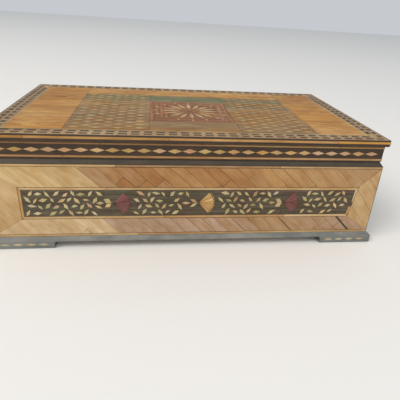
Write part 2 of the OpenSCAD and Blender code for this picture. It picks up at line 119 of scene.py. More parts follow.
# Noise stretched by a scale for each axis, counted per millimetre, and turned to run from low to high. It
# lies in the grain of a straw, or without one in the solid. Where along is 1, X and Y change places.
def stretchedNoise(tree, scale, low, high, detail=3.0, grain=None, along=0):
    scale = np.ones(3) * scale
    if along:
        scale = scale[[1, 0, 2]]
    if grain is None:
        grain, scale = addNode(tree, "ShaderNodeTexCoord").outputs["Object"], scale * lift
    mapping = addNode(tree, "ShaderNodeMapping", {"Scale": scale.tolist()}, {"Vector": grain})
    noise = addNode(tree, "ShaderNodeTexNoise", {"Scale": 1.0, "Detail": detail, "Roughness": 0.55},
                    {"Vector": mapping.outputs[0]})
    return ranged(tree, noise.outputs["Fac"], low, high)


# rough is the roughness where the factor is low and where it is high
def finishSurface(tree, colour, factor, rough, height, depth, extra=None):
    bump = addNode(tree, "ShaderNodeBump", {"Strength": 1.0, "Distance": depth * mm}, {"Height": height})
    rough = ranged(tree, factor, start=rough[0], end=rough[1])
    shader = addNode(tree, "ShaderNodeBsdfPrincipled", {"IOR": 1.45, **(extra or {})},
                     {"Base Color": colour, "Roughness": rough, "Normal": bump.outputs[0]})
    addNode(tree, "ShaderNodeOutputMaterial", {}, {"Surface": shader.outputs[0]})


# Split wheat straw, opened, ironed flat and glued down: a waxy skin with long fibres, brown flecks at the
# joints of the plant, and dirt that has gathered along the cut edges. Its colour comes from the piece.
def strawMaterial(name, look):
    material, tree = newMaterial(name)
    grain = addNode(tree, "ShaderNodeUVMap", {"uv_map": "grain"}).outputs[0]
    colour = addNode(tree, "ShaderNodeAttribute", {"attribute_name": "tone"}).outputs["Color"]
    edge = addNode(tree, "ShaderNodeAttribute", {"attribute_name": "edge"}).outputs["Fac"]
    # true fibres are 0.1 mm apart, which is too fine to show, so they are drawn 0.4 mm apart
    fibres = stretchedNoise(tree, (0.035, 2.4, 1), 0.32, 0.68, grain=grain)
    streaks = stretchedNoise(tree, look["streakScale"], *look["streakRange"], grain=grain)
    layers = {
        "fibre": fibres,
        "streak": streaks,
        "cloud": stretchedNoise(tree, 0.035, 0.35, 0.65),
        "mottle": stretchedNoise(tree, (0.07, 0.16, 1), 0.36, 0.6, 2.0, grain),
        "fleck": stretchedNoise(tree, (0.22, 1.3, 1), *look["fleckRange"], 4.0, grain),
        "dirtTone": ranged(tree, edge, 0.0, look["dirtWide"], 1 - look["dirt"], 1.0),
    }
    for layer, factor in layers.items():
        colour = darkenWhereLow(tree, factor, colour, look[layer])
    finishSurface(tree, colour, streaks, look["rough"], fibres, look["relief"],
                  {"Coat Weight": look["wax"], "Coat Roughness": 0.3})
    return material


plainStrawLook = {
    "fibre": "#f7f4ef", "streak": "#f3eee6", "streakScale": (0.02, 0.55, 1), "streakRange": (0.35, 0.65),
    "cloud": "#efe8dd", "mottle": "#efe4d2", "fleck": "#c9a27a", "fleckRange": (0.2, 0.32), "dirt": 0.5,
    "dirtWide": 0.35, "dirtTone": "#84603f", "rough": (0.6, 0.45), "relief": 0.012, "wax": 0.06,
}
lidStrawLook = {
    **plainStrawLook, "streak": "#e3cba2", "streakScale": (0.045, 0.5, 1), "streakRange": (0.36, 0.54),
    "cloud": "#efe0c8", "fleck": "#b98a58", "fleckRange": (0.26, 0.36), "dirt": 0.4, "rough": (0.64, 0.52),
    "wax": 0.02,
}
dyedStrawLook = {
    **plainStrawLook, "fibre": "#d9cfc4", "streak": "#d6c9b8", "streakRange": (0.38, 0.6),
    "dirtTone": "#6a5a4a", "rough": (0.68, 0.52), "wax": 0.03,
}
print("materials: straw")
plainStraw = strawMaterial("split wheat straw, natural", plainStrawLook)
lidStraw = strawMaterial("split wheat straw, sunned", lidStrawLook)
dyedStraw = strawMaterial("split wheat straw, dyed", dyedStrawLook)


# Bares the wood at the edges of a solid, which show where a softened normal leaves the true one
def rubEdges(tree, colour, look):
    soft = addNode(tree, "ShaderNodeBevel", {"samples": 4, "Radius": look["wearWide"] * mm})
    true = addNode(tree, "ShaderNodeNewGeometry")
    facing = addNode(tree, "ShaderNodeVectorMath", {"operation": "DOT_PRODUCT"},
                     {0: soft.outputs[0], 1: true.outputs["Normal"]})
    bare = ranged(tree, facing.outputs["Value"], *look["wearFrom"], 0.0, look["wear"])
    rubbing = stretchedNoise(tree, *look["rubbing"])
    worn = addNode(tree, "ShaderNodeMath", {"operation": "MULTIPLY"}, {0: bare, 1: rubbing})
    return mixColour(tree, worn.outputs[0], colour, look["bare"])


# Painted shade: darkens the rim towards its lower and its upper edge, where the straw line below and the lid
# above meet it, between two distances from its lower and its upper edge
def addPaintedShade(tree, colour, look):
    solid = addNode(tree, "ShaderNodeTexCoord").outputs["Object"]
    height = addNode(tree, "ShaderNodeSeparateXYZ", {}, {"Vector": solid}).outputs["Z"]
    for corner, reach in zip(boxOf("rim_front"), look["paintedShade"]):
        unshaded = ranged(tree, height, *((corner[2] + above) * mm for above in reach))
        colour = darkenWhereLow(tree, unshaded, colour, look["paintedShadeTone"])
    return colour


# A material of one or two noises in the solid. The first mixes dark and light, the second the haze or the
# pores. follow says which of them the roughness and the relief follow; along is the axis of the grain.
def solidMaterial(name, look, along=0):
    material, tree = newMaterial(name)
    noises = [stretchedNoise(tree, *noise, along=along) for noise in look["noises"]]
    colour = mixColour(tree, noises[0], look["dark"], look["light"])
    if "haze" in look:
        colour = mixColour(tree, noises[1], colour, look["haze"])
    if "pores" in look:
        colour = darkenWhereLow(tree, noises[1], colour, look["pores"])
    if "bare" in look:
        colour = rubEdges(tree, colour, look)
    # painted shade near the rim's lower and upper edges
    if "paintedShade" in look:
        colour = addPaintedShade(tree, colour, look)
    roughBy, reliefBy = (noises[k] for k in look["follow"])
    finishSurface(tree, colour, roughBy, look["rough"], reliefBy, look["relief"], look.get("extra"))
    return material


# The same finish with its grain along X and along Y
def bothWays(name, look):
    return [solidMaterial(name + ", grain " + "xy"[k], look, k) for k in (0, 1)]


# Softwood with a black spirit stain under old wax: brown where hands and edges have rubbed it through, with
# the grain faintly raised
blackLook = {
    "noises": [((0.03, 0.9, 1.4), 0.35, 0.65, 4.0), (0.06, 0.4, 0.68, 4.0)], "follow": (1, 0),
    "dark": "#2a1c10", "light": "#3b2917", "haze": "#422f1b", "bare": "#8f6f49", "wear": 0.75,
    "wearWide": 0.5, "wearFrom": (0.995, 0.93), "rubbing": (0.25, 0.35, 0.6, 5.0), "rough": (0.45, 0.6),
    "relief": 0.03,
}
# The ledge: black stain, with painted shade darkening it under the lid and at its foot
ledgeLook = {
    **blackLook, "dark": "#2c241a", "light": "#3c3222", "haze": "#473d2c", "bare": "#8d7455", "wear": 0.5,
    "wearWide": 0.4, "paintedShade": [(-0.1, 0.9), (0.3, -1.1)], "paintedShadeTone": "#8a7863",
}
# The plinth and feet: black stain painted mid grey, as a painted haze and reflection of the pale table
footLook = {
    **blackLook, "dark": "#646765", "light": "#757671", "haze": "#878781", "bare": "#9b9788", "wear": 0.5,
    "wearWide": 0.6,
}
# Plain pine, planed: pale, with darker late wood lines along the board
pineLook = {
    "noises": [((0.012, 0.35, 0.35), 0.42, 0.6, 2.0), ((0.1, 3, 3), 0.3, 0.7, 2.0)], "follow": (1, 1),
    "dark": "#c9a06c", "light": "#ddbb8c", "pores": "#d9c4ac", "rough": (0.6, 0.75), "relief": 0.03,
}
# Flock paper: short wool dust on glue, matt, with a faint bloom at a low angle and rubbed patches
flockLook = {
    "noises": [(2.2, 0.3, 0.7, 4.0), (0.018, 0.42, 0.8, 5.0)], "follow": (0, 0), "dark": "#5c2029",
    "light": "#74303a", "haze": "#7a3f44", "rough": (0.9, 1.0), "relief": 0.12,
    "extra": {"Sheen Weight": 0.35, "Sheen Roughness": 0.5},
}
# Drawn and rolled brass, long unpolished: brown-gold, brighter where it is handled
brassLook = {
    "noises": [(0.5, 0.35, 0.65, 4.0), ((0.2, 6, 6), 0.3, 0.7, 2.0)], "follow": (0, 1), "dark": "#7d6136",
    "light": "#b8955a", "rough": (0.48, 0.3), "relief": 0.01, "extra": {"Metallic": 1.0, "IOR": 1.5},
}
# Brown paper and hide glue under the straw, seen only in the joints and where a sliver is missing
glueLook = {
    "noises": [(0.4, 0.3, 0.7, 4.0)], "follow": (0, 0), "dark": "#3c352b", "light": "#5b4a37",
    "rough": (0.7, 0.85), "relief": 0.04,
}
print("materials: stained wood")
black = bothWays("black-stained pine", blackLook)
ledge = bothWays("black-stained ledge", ledgeLook)
plinth = bothWays("dusty black plinth", footLook)
print("materials: pine, flock, brass, glue")
pine = bothWays("planed pine", pineLook)
flock = solidMaterial("claret flock paper", flockLook)
brass = solidMaterial("old brass", brassLook)
glue = solidMaterial("brown paper and hide glue", glueLook)


# The plane of a face: a runs across it, b up it, h out of it; a point is start + a across + b up + h out
sides = ("front", "right", "back", "left")
outOf = {"front": (0, -1, 0), "right": (1, 0, 0), "back": (0, 1, 0), "left": (-1, 0, 0), "top": (0, 0, 1)}


def planeOf(side, node):
    low, high = boxOf(node)
    out = np.array(outOf[side], float)
    up = np.array((0, 1, 0) if side == "top" else (0, 0, 1), float)
    start = np.where(out > 0, high, low) * np.abs(out)
    return {"start": start, "across": np.cross(up, out), "up": up, "out": out}


def onPlane(plane, a, b, h):
    return (plane["start"] + a[..., None] * plane["across"] + b[..., None] * plane["up"]
            + h[..., None] * plane["out"])


# The span of a node on a plane: lowest a, lowest b, highest a, highest b
def spanOn(plane, node):
    ends = np.array(boxOf(node))
    a, b = np.sort(ends @ plane["across"]), np.sort(ends @ plane["up"])
    return a[0], b[0], a[1], b[1]


def rectangle(a0, b0, a1, b1):
    return np.array([[a0, b0], [a1, b0], [a1, b1], [a0, b1]], float)


# The four mitred bands between an outer and an inner outline, whose corners count from the low left
def mitredBands(outer, inner):
    bands = {}
    for k, name in enumerate(("low", "right", "high", "left")):
        after = (k + 1) % 4
        bands[name] = np.array([outer[k], outer[after], inner[after], inner[k]], float)
    return bands


def newObject(name, data):
    item = bpy.data.objects.new(name, data)
    bpy.context.scene.collection.objects.link(item)
    return item


# Makes one piece of many patches. A patch is a dictionary of arrays: points, faces, grain (u, v), tone and
# edge, with the slot of its faces.
def makePiece(name, patches, materials, body, replaced):
    points, grain, tone, edge = (np.concatenate([patch[key] for patch in patches])
                                 for key in ("points", "grain", "tone", "edge"))
    starts = np.cumsum([0] + [len(patch["points"]) for patch in patches]).tolist()
    faces = [[v + start for v in face] for start, patch in zip(starts, patches) for face in patch["faces"]]
    slots = [patch["slot"] for patch in patches for face in patch["faces"]]
    mesh = bpy.data.meshes.new(name)
    mesh.from_pydata((points * mm).tolist(), [], faces)
    corners = np.empty(len(mesh.loops), int)
    mesh.loops.foreach_get("vertex_index", corners)
    mesh.uv_layers.new(name="grain").data.foreach_set("uv", grain[corners].ravel())
    mesh.attributes.new("tone", "FLOAT_COLOR", "POINT").data.foreach_set("color", tone.ravel())
    mesh.attributes.new("edge", "FLOAT", "POINT").data.foreach_set("value", edge)
    mesh.polygons.foreach_set("material_index", slots)
    for material in materials:
        mesh.materials.append(material)
    mesh.update()
    piece = newObject(name, mesh)
    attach(piece, body)
    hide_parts(*replaced)
    print("piece", name, len(faces), "faces")


# Tones of n pieces: a run of named tones over place (0 to 1), then some strays, then light and dark ones.
# Where calm nears 1 the strays and the spread of tones fade away.
toneRule = {
    "strayReach": (0.4, 1.0),   # how much of the way to its own tone a stray goes
    "calmest": 0.8,             # the part that a calm of 1 takes away
    "furthest": 2,              # a tone's most, in standard deviations
}


def pickTones(look, place, rng, calm=0.0):
    n = len(place)
    run, strays = (np.array([toLinear(straw[name])[:3] for name in names])
                   for names in (look["tones"], look.get("strays", ["honey"])))
    stops = look.get("stops", np.linspace(0, 1, len(run)))
    tone = np.stack([np.interp(place, stops, run[:, c]) for c in range(3)], -1)
    drawn = strays[rng.integers(0, len(strays), n)]
    strayed = rng.random(n) < look.get("strayPart", 0)
    share = np.where(strayed, rng.uniform(*toneRule["strayReach"], n), 0)
    stir = np.broadcast_to(1 - toneRule["calmest"] * calm, n)
    tone = tone + (drawn - tone) * (share * stir)[:, None]
    spread = rng.standard_normal(n).clip(-toneRule["furthest"], toneRule["furthest"])
    tone *= 1 + (look.get("vary", 0.08) * stir * spread)[:, None]
    return np.concatenate([tone, np.ones((n, 1))], 1)


# Index rows of the quads of n grids of rows by columns, and of the flat face that closes each grid below
def gridFaces(n, rows, columns):
    index = np.arange(rows * columns).reshape(rows, columns)
    quads = np.stack([index[:-1, :-1], index[1:, :-1], index[1:, 1:], index[:-1, 1:]], -1).reshape(-1, 4)
    rim = np.concatenate([index[:, 0], index[-1, 1:], index[-2::-1, -1], index[0, -2:0:-1]])[::-1]
    steps = (np.arange(n) * rows * columns)[:, None, None]
    return (quads + steps).reshape(-1, 4).tolist() + (rim + steps[:, 0]).tolist()


# How every splint is cut and laid
splintShape = {
    "narrowest": 0.35,      # a last row narrower than this share of a splint joins the row before
    "closeGap": 0.1,        # the part of its gap that a close joint keeps
    "cleanJoint": 0.35,     # at a close joint the dirt fades as if it were this much further off
    "hair": 0.02,           # how far the wall of a splint leans in
    "fall": 0.7,            # how far the rounding drops, as a share of its width
    "endRise": 0.9,         # from its end to where a splint lies flat
    "endShare": 0.3,        # the most of its length that this takes
    "shortest": 0.4,        # shorter offcuts are left out
    "below": 0.02,          # how far the highest point stays below the face
    "wave": 0.02,           # height of the slow wave along a splint
    "waveTurn": 0.21,       # radians of that wave for each millimetre
}


# Rows of splints over a patch, each row cut across into lengths: rows of t0, t1, s0 and s1
def cutCells(along, over, look, rng):
    low, high = over.min(), over.max()
    widths = rng.uniform(*look["wide"], int((high - low) / look["wide"][0]) + 2)
    edges = low + np.concatenate([[0], np.cumsum(widths)]) - rng.uniform(0, look.get("shift", 0) + 1e-9)
    edges = edges[:np.searchsorted(edges, high) + 1].clip(low, high)
    if len(edges) > 2 and edges[-1] - edges[-2] < splintShape["narrowest"] * look["wide"][0]:
        edges = np.delete(edges, -2)
    cells = []
    shortest = look["long"][0] / 2
    for k in range(len(edges) - 1):
        start, end = along.min() - 1, along.min() + rng.uniform(shortest, look["long"][1])
        while start < along.max():
            end = end if along.max() - end > shortest else along.max() + 1
            cells.append((edges[k], edges[k + 1], start, end))
            start, end = end, end + rng.uniform(*look["long"])
    return np.array(cells)


# Lays splints side by side over a convex patch of a plane. A splint's surface is a function of s along the
# straw and t across it: the point is s times the grain direction plus t times the cross direction. s runs
# between the places at which the line at t leaves the patch or meets a joint. With q from -1 to 1 across
# the splint, its height is how deep it sits, less crown q q, plus tilt q and a slow wave along s. At its
# outline it drops to the paper.
def laySplints(plane, region, look, rng):
    turn = math.radians(look.get("turn", 0))
    grain = np.array([math.cos(turn), math.sin(turn)])
    cross = np.array([-grain[1], grain[0]])
    along, over = region @ grain, region @ cross
    cells = cutCells(along, over, look, rng)
    spread = np.stack([region.min(0), region.max(0)])

    # where a splint lies between the two ends of the patch, from 0 to 1
    def placeOf(s, t):
        centre = s.clip(along.min(), along.max())[:, None] * grain + t[:, None] * cross
        return ((centre - spread[0]) / (spread[1] - spread[0]))[:, look.get("toneAxis", 0)]

    # some splints meet their neighbours so closely that the joint hardly shows
    closeRun = look.get("close", ([0], [0]))
    centres = placeOf(cells[:, 2:].mean(1), cells[:, :2].mean(1))
    close = rng.random(len(cells)) < np.interp(centres, *closeRun)
    gaps = rng.uniform(*look["gap"], (len(cells), 4)) / 2
    gaps *= np.where(close, splintShape["closeGap"], 1)[:, None]
    # a sliver is lost along the row of splints whose far side lies nearest to the spot
    for a, b, lost in look.get("missing", ()):
        spot = np.array([a, b]) @ cross
        side = cells[np.argmin(np.abs(cells[:, 1] - spot)), 1]
        gaps[cells[:, 1] == side, 1] += lost
    t0, t1 = cells[:, 0] + gaps[:, 0], cells[:, 1] - gaps[:, 1]
    wide = t1 - t0
    hair, rounded = splintShape["hair"], look.get("round", 0.12)
    kept = wide > 4 * rounded
    cells, gaps, t0, t1, wide, close = (item[kept] for item in (cells, gaps, t0, t1, wide, close))
    steps = np.array([0, hair, hair + rounded])
    t = np.concatenate([t0[:, None] + steps, t0[:, None] + wide[:, None] * [0.25, 0.5, 0.75],
                        t1[:, None] - steps[::-1]], 1)
    # a corner of the patch that lies within a splint gets a line of its own
    for corner in over:
        for row in np.nonzero((t0 + 0.25 * wide < corner) & (corner < t1 - 0.25 * wide))[0]:
            t[row, 4] = corner

    # the borders of the patch cut each line off, at its start those that face along the straw
    borders = np.roll(region, -1, 0) - region
    inward = np.stack([-borders[:, 1], borders[:, 0]], -1)
    facing, offset = inward @ grain, (inward * region).sum(1) - (inward @ cross) * t[..., None]
    leave = offset / np.where(np.abs(facing) < 1e-9, np.inf, facing)
    s0 = np.where(facing > 1e-9, leave, -np.inf).max(-1)
    s1 = np.where(facing < -1e-9, leave, np.inf).min(-1)
    s0 = np.maximum(s0 + look.get("inset", 0.05), cells[:, 2:3] + gaps[:, 2:3])
    s1 = np.minimum(s1 - look.get("inset", 0.05), cells[:, 3:4] - gaps[:, 3:4])
    kept = (s1 - s0).max(1) > splintShape["shortest"]
    t, s0, s1, t0, t1, wide, close = (item[kept] for item in (t, s0, s1, t0, t1, wide, close))
    middle = (s0 + s1) / 2
    s0, s1 = np.minimum(s0, middle - hair / 2), np.maximum(s1, middle + hair / 2)
    ends = np.array([0, hair, hair + rounded, splintShape["endRise"]])[:, None]
    longest = splintShape["endShare"] * (s1 - s0)[:, None, :] * [[0], [0.2], [0.6], [1]]
    ends = np.minimum(ends, longest)
    first, last = s0[:, None, :] + ends, s1[:, None, :] - ends[:, ::-1]
    inner = np.linspace(0, 1, look.get("pieces", 4))[1:-1, None]
    s = np.concatenate([first, first[:, -1:] + (last[:, :1] - first[:, -1:]) * inner, last], 1)

    n, rows, columns = s.shape
    t = np.broadcast_to(t[:, None, :], s.shape)
    i, k = np.arange(rows)[:, None], np.arange(columns)[None, :]
    ring = np.minimum(np.minimum(i, rows - 1 - i), np.minimum(k, columns - 1 - k))
    q = (2 * (t - t0[:, None, None]) / wide[:, None, None] - 1).clip(-1, 1)
    sit = rng.uniform(-1, 0, (n, 1, 1)) * look.get("uneven", 0.06)
    tilt = rng.standard_normal((n, 1, 1)).clip(-1.5, 1.5) * look.get("tilt", 0.04)
    wave = splintShape["wave"] * np.sin(s * splintShape["waveTurn"] + rng.uniform(0, 6, (n, 1, 1)))
    top = sit - look.get("crown", 0.05) * q * q + tilt * q - np.abs(tilt) + wave - splintShape["below"]
    h = np.where(ring == 0, -look["thick"], np.where(ring == 1, top - rounded * splintShape["fall"], top))
    a = s * grain[0] + t * cross[0]
    b = s * grain[1] + t * cross[1]
    away = np.minimum(np.minimum(t - t0[:, None, None], t1[:, None, None] - t),
                      np.minimum(s - s[:, :1], s[:, -1:] - s))
    away = away + splintShape["cleanJoint"] * close[:, None, None]
    where = placeOf(s.mean((1, 2)), t.mean((1, 2)))
    tone = np.repeat(pickTones(look, where, rng, np.interp(where, *closeRun)), rows * columns, 0)
    uv = np.stack([s, t], -1) + rng.uniform(0, 400, (n, 1, 1, 2))
    return {"points": onPlane(plane, a, b, h).reshape(-1, 3), "faces": gridFaces(n, rows, columns),
            "grain": uv.reshape(-1, 2), "tone": tone, "edge": away.ravel(), "slot": look.get("slot", 0)}


# Paper sheet under the splints of a patch: its outline carried between two depths
paperDepths = (-0.6, -0.34)


def layPaper(plane, region, slot):
    n = len(region)
    points = np.concatenate([onPlane(plane, *region.T, np.full(n, depth)) for depth in paperDepths])
    ring = np.arange(n)
    after = np.roll(ring, -1)
    walls = np.stack([ring, after, after + n, ring + n], -1).tolist()
    return {"points": points, "faces": [ring[::-1].tolist(), (ring + n).tolist()] + walls,
            "grain": np.zeros((2 * n, 2)), "tone": np.ones((2 * n, 4)), "edge": np.ones(2 * n),
            "slot": slot}


# The single pieces of a CAD node. A merged copy of its triangles falls into islands, one for each piece;
# each gives the corners of its outer face, in order round it, and the direction that the face looks in.
def singlePieces(node, cornersEach=4):
    work = bmesh.new()
    work.from_mesh(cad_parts[node].data)
    bmesh.ops.remove_doubles(work, verts=work.verts, dist=0.002 * mm)
    bmesh.ops.triangulate(work, faces=work.faces)
    work.verts.index_update()
    spots = np.array([vertex.co for vertex in work.verts], float) * lift
    triangles = np.array([[vertex.index for vertex in face.verts] for face in work.faces])
    work.free()
    group = np.arange(len(spots))
    for _ in range(2 * cornersEach + 4):
        np.minimum.at(group, triangles.ravel(), np.repeat(group[triangles].min(1), 3))
    order = np.argsort(group, kind="stable")
    solids = spots[order].reshape(-1, 2 * cornersEach, 3)
    centre = solids.mean(1)
    size = np.ptp(solids, axis=1)
    thin = size.argmin(1)
    out = np.eye(3)[thin] * np.where(thin == 2, 1, np.sign((centre * np.eye(3)[thin]).sum(1)))[:, None]
    depth = (solids * out[:, None]).sum(-1)
    outer = np.argsort(-depth, axis=1, kind="stable")[:, :cornersEach]
    corners = np.take_along_axis(solids, outer[..., None], 1)
    up = np.where(thin[:, None] == 2, [[0, 1, 0]], [[0, 0, 1]]).astype(float)
    spokes = corners - corners.mean(1, keepdims=True)
    a, b = ((spokes * way[:, None]).sum(-1) for way in (np.cross(up, out), up))
    turn = np.argsort(np.arctan2(b, a), axis=1)
    return np.take_along_axis(corners, turn[..., None], 1), out


# Turns the corner lists so that the longer diagonal comes first
def longestFirst(corners):
    diagonals = np.linalg.norm(corners[:, :2] - corners[:, 2:], axis=-1)
    swap = diagonals[:, 1] > diagonals[:, 0]
    return np.where(swap[:, None, None], np.roll(corners, -1, 1), corners)


# Small cut pieces, each between four corners. The surface is a function of u and v from 0 to 1: the mix of
# the corners by (1-u)(1-v), u(1-v), uv and (1-u)v. It rises from its outline by thick in the first step,
# and then by crown to its middle.
def cutPieces(corners, out, look, rng, alongEdge=False):
    n = len(corners)
    centre = corners.mean(1, keepdims=True)
    ahead = corners[:, 1] - corners[:, 0] if alongEdge else corners[:, 2] - corners[:, 0]
    ahead /= np.linalg.norm(ahead, axis=-1, keepdims=True)
    beside = np.cross(out, ahead)
    # drawn out or in along the straw and across it
    for direction, stretch in zip((ahead, beside), look.get("stretch", (1, 1))):
        reach = ((corners - centre) * direction[:, None]).sum(-1, keepdims=True)
        corners = corners + reach * direction[:, None] * (stretch - 1)
    slip = rng.standard_normal((n, 4, 2)).clip(-1.6, 1.6) * look.get("slip", 0)
    corners = corners + slip[..., :1] * ahead[:, None] + slip[..., 1:] * beside[:, None] * 0.6
    step = look.get("step", 0.08)
    u = np.array([0, step, 0.5, 1 - step, 1])
    rows = len(u)
    u, v = np.meshgrid(u, u, indexing="ij")
    weights = np.stack([(1 - u) * (1 - v), u * (1 - v), u * v, (1 - u) * v], -1)
    flat = np.einsum("ijc,ncd->nijd", weights, corners)
    ring = np.minimum(np.minimum(u, 1 - u), np.minimum(v, 1 - v))
    rise = np.where(ring == 0, -look["thick"], look.get("crown", 0.03) * (2 * ring - 1))
    uneven = rng.uniform(-1, 0, (n, 1, 1)) * look.get("uneven", 0.03)
    rise = rise + np.where(ring == 0, 0, uneven)
    points = flat + rise[..., None] * out[:, None, None]
    grain = np.stack([((flat - centre[:, None]) * d[:, None, None]).sum(-1) for d in (ahead, beside)], -1)
    away = np.broadcast_to(ring * look.get("edgeWide", 4.0), (n, rows, rows))
    tone = pickTones(look, rng.random(n), rng)
    return {"points": points.reshape(-1, 3), "faces": gridFaces(n, rows, rows),
            "grain": (grain + rng.uniform(0, 400, (n, 1, 1, 2))).reshape(-1, 2),
            "tone": np.repeat(tone, rows * rows, 0), "edge": away.ravel(), "slot": look.get("slot", 0)}


# Straw faces of the base
faceLook = {
    "thick": 0.4, "frameWide": 2.0, "lineGap": 0.22, "wide": (7.0, 10.5), "long": (30, 110),
    "gap": (0.0, 0.2), "strays": ["tan", "pale", "rose", "honey", "amber"], "strayPart": 0.35,
    "vary": 0.025, "close": ([0], [0.4]), "shift": 4, "uneven": 0.09,
    "turns": {"high": -43, "low": -45, "left": -52, "right": -52},
    "lean": {"front": 3.8},         # how far the panel's right end leans out towards its top
    "bareEnd": {"front": 0.5},      # how far the parquet has shrunk from the right corner
    # the frame's right end has lost a piece between these two shares of its height, and what is left above
    # has split to a wedge that is this wide at its foot
    "loss": (0.34, 0.5), "wedge": 0.9,
    "seeds": {"front": 11, "right": 12, "back": 13, "left": 14},
}
# A missing sliver is a place on the face and how wide the sliver is
bandLooks = {
    "high": {"strays": ["tan", "honey"], "strayPart": 0.3,
             "tones": ["pale", "pale", "tan", "amber", "amber", "honey", "amber", "honey", "tan"],
             "stops": [0, 0.2, 0.26, 0.3, 0.4, 0.47, 0.55, 0.7, 1],
             "close": ([0, 0.22, 0.3, 0.6, 0.7, 1], [0.95, 0.9, 0.25, 0.3, 0.6, 0.7])},
    "low": {"strays": ["tan", "rose"], "strayPart": 0.25,
            "tones": ["hazy", "hazy", "rose", "rose", "tan", "rose"],
            "stops": [0, 0.295, 0.305, 0.6, 0.7, 1],
            "close": ([0, 0.28, 0.34, 1], [0.95, 0.9, 0.45, 0.5]),
            "missing": [(124.0, 17.5, 1.4), (84.0, 13.0, 0.6)]},
    "left": {"tones": ["wheat", "wheat"], "wide": (9, 14), "strayPart": 0.15, "vary": 0.015,
             "close": ([0], [0.85])},
    "right": {"tones": ["wheat", "wheat"], "wide": (9, 15), "strayPart": 0.2, "vary": 0.015,
              "close": ([0], [0.6])},
}
# The faces that the photo does not show have plainer bands
bandTones = {
    "right": {"high": ["honey", "tan", "pale"], "low": ["tan", "rose", "honey"],
              "left": ["honey", "tan"], "right": ["honey", "pale"]},
    "left": {"high": ["pale", "honey", "tan"], "low": ["honey", "rose", "tan"],
             "left": ["pale", "honey"], "right": ["honey", "tan"]},
    "back": {"high": ["tan", "honey", "amber"], "low": ["rose", "tan", "honey"],
             "left": ["honey", "tan"], "right": ["honey", "amber"]},
}
# A line is one straw wide, so its splints are given a width that no line reaches
lineLook = {
    "thick": 0.45, "wide": (9, 9), "gap": (0.02, 0.1), "long": (60, 130), "pieces": 8, "crown": 0.08,
    "inset": 0.02, "tones": ["pale", "honey", "pale"], "strays": ["gold", "hazy", "tan"], "strayPart": 0.4,
    "vary": 0.03,
}
panelLook = {
    "thick": 0.3, "wide": (4, 6.5), "gap": (0.02, 0.1), "long": (70, 150), "pieces": 8, "crown": 0.03,
    "tones": ["ink", "ink"], "strays": ["inkGreen", "inkPlum"], "strayPart": 0.5, "vary": 0.04,
}


def layFace(side):
    plane = planeOf(side, "parquet_" + side)
    band = rectangle(*spanOn(plane, "parquet_" + side))
    whole = rectangle(*spanOn(plane, "stringing_" + side))
    # the panel of the back repeats the front's, and that of the left end the right one's
    pattern = "front" if side in ("front", "back") else "right"
    panel = rectangle(*spanOn(planeOf(pattern, "panel_" + pattern), "panel_" + pattern))
    ground = panel + [[0, 0], [0, 0], [faceLook["lean"].get(side, 0), 0], [0, 0]]
    outward = np.array([[-1, -1], [1, -1], [1, 1], [-1, 1]])
    framed = ground + outward * faceLook["frameWide"]
    rng = np.random.default_rng(faceLook["seeds"][side])
    patches = [layPaper(plane, whole, 1)]
    gap, bare = faceLook["lineGap"], faceLook["bareEnd"].get(side, 0)
    covered = band + np.array([[0, gap], [-bare, gap], [-bare, -gap], [0, -gap]])
    for name, region in mitredBands(covered, framed + outward * gap).items():
        own = bandLooks[name] if side == "front" else {"tones": bandTones[side][name]}
        look = {**faceLook, "turn": faceLook["turns"][name], **own}
        patches.append(laySplints(plane, region, look, rng))
    if side == "back":
        middleLook = {**faceLook, "tones": ["honey", "amber", "tan"], "turn": 45}
        patches.append(laySplints(plane, ground, middleLook, rng))
    makePiece("splints_" + side, patches, [plainStraw, glue], "base", ["parquet_" + side])

    rails = [[whole[0], whole[1], band[1], band[0]], [band[3], band[2], whole[2], whole[3]]]
    posts = list(mitredBands(framed, ground).values())
    if side == "front":
        post = posts[1]
        foot, head = (post[0] + (post[1] - post[0]) * share for share in faceLook["loss"])
        inside = post[3] + (post[2] - post[3]) * faceLook["loss"][0]
        posts[1] = np.array([post[0], foot, inside, post[3]])
        posts.append(np.array([head - [faceLook["wedge"], 0], head, post[1], post[2]]))
    patches = [laySplints(plane, np.array(strip), {**lineLook, "wide": (3, 3)}, rng) for strip in rails]
    # the fifth post, which is the broken one, stands upright and is wider at its foot
    for post, turn, wide in zip(posts, (0, 90, 0, 90, 90), (3, 3, 3, 3, 6)):
        patches.append(laySplints(plane, post, {**lineLook, "wide": (wide, wide), "turn": turn}, rng))
    makePiece("lines_" + side, patches, [plainStraw], "base", ["stringing_" + side])
    if side != "back":
        patches = [laySplints(planeOf(side, "panel_" + side), ground, panelLook, rng)]
        makePiece("ground_" + side, patches, [dyedStraw], "base", ["panel_" + side])


print("faces of the base")
for side in sides:
    layFace(side)


# Leaves, fans and diamonds are cut from single straws and glued over the black
leafLook = {
    "thick": 0.25, "slip": 0.32, "stretch": (1.1, 1.16),
    # the two leaves at the tip of each red fan, found by how far they are beside it and above or below it
    "arrowWide": 1.7, "arrowNear": (5.5, 4),
    "tones": ["oat", "leafGreen", "pale", "oat", "leafGreen"],
    "strays": ["blush", "celery", "silver", "celery", "tan"], "strayPart": 0.4, "vary": 0.07,
}
diamondLook = {
    "thick": 0.25, "slip": 0.15, "stretch": (1.13, 0.88), "tones": ["gold", "wheat", "gold", "wheat"],
    "strays": ["blush", "honey", "blush", "oliveGold"], "strayPart": 0.5, "vary": 0.04,
}
footDiamondLook = {
    **diamondLook, "tones": ["silver", "oat", "silver"], "strays": ["oat", "silver"], "vary": 0.05,
}
fanLook = {
    "thick": 0.25, "uneven": 0.08,
    "teeth": 10,            # notches between the splints
    "deeper": 0.9,          # how much deeper a notch is cut than in the solid
    "shoulder": 0.86,       # where the outermost splints are widest
}
